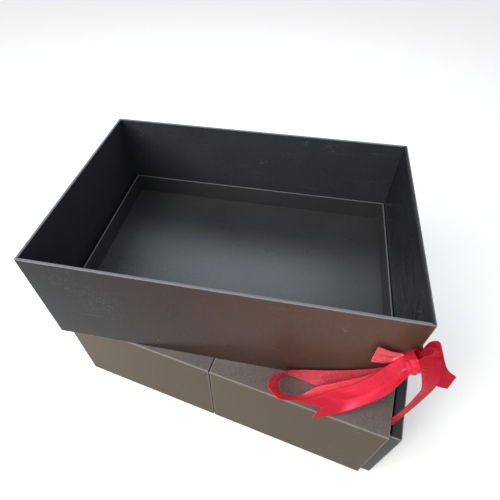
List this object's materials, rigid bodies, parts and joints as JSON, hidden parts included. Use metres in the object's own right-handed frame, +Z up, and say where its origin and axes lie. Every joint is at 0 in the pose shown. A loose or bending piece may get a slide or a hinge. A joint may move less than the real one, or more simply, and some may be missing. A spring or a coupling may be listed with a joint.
{
  "type": "gift box",
  "caption": "Tiered black gift box: open tray with a loose shallow liner and a red satin ribbon bow, standing on a seamed sleeve case with a pull-out drawer.",
  "frame": {"origin": "middle of the case's underside, on the surface that it stands on", "axes": "+X along the case to the drawer front, +Y to the rear, +Z up"},
  "size_m": [0.4929, 0.3444, 0.284],
  "materials": {
    "case_paper": "satin black paper over greyboard",
    "drawer_paper": "satin black paper over greyboard",
    "tray_paper": "satin black paper over greyboard",
    "liner_paper": "semi gloss black paper over greyboard",
    "red_satin": "satin weave ribbon"
  },
  "bodies": {
    "case": {"case_bottom_board": "case_paper", "left_end_panel": "case_paper", "left_top_panel": "case_paper", "left_front_panel": "case_paper", "left_rear_panel": "case_paper", "right_top_panel": "case_paper", "right_front_panel": "case_paper", "right_rear_panel": "case_paper", "seam_strip_top": "case_paper", "seam_strip_front": "case_paper", "seam_strip_rear": "case_paper"},
    "drawer": {"drawer_front": "drawer_paper", "drawer_back": "drawer_paper", "drawer_front_side": "drawer_paper", "drawer_rear_side": "drawer_paper", "drawer_base": "drawer_paper"},
    "tray": {"tray_base": "tray_paper", "tray_front_wall": "tray_paper", "tray_rear_wall": "tray_paper", "tray_left_wall": "tray_paper", "tray_right_wall": "tray_paper", "right_wall_lining": "tray_paper", "ribbon_band": "red_satin", "bow_knot": "red_satin", "left_loop": "red_satin", "left_tail": "red_satin", "short_end": "red_satin", "right_loop": "red_satin", "right_tail": "red_satin"},
    "liner": {"liner_floor": "liner_paper", "liner_front_rim": "liner_paper", "liner_rear_rim": "liner_paper", "liner_left_rim": "liner_paper", "liner_right_rim": "liner_paper"}
  },
  "joints": [
    {"name": "drawer_slide", "type": "slide", "parent": "case", "child": "drawer", "axis": [1, 0, 0], "range_m": [0, 0.3]},
    {"name": "tray_lift", "type": "slide", "parent": "case", "child": "tray", "axis": [0, 0, 1], "range_m": [0, 0.15]},
    {"name": "liner_lift", "type": "slide", "parent": "tray", "child": "liner", "axis": [0, 0, 1], "range_m": [0, 0.15]}
  ]
}
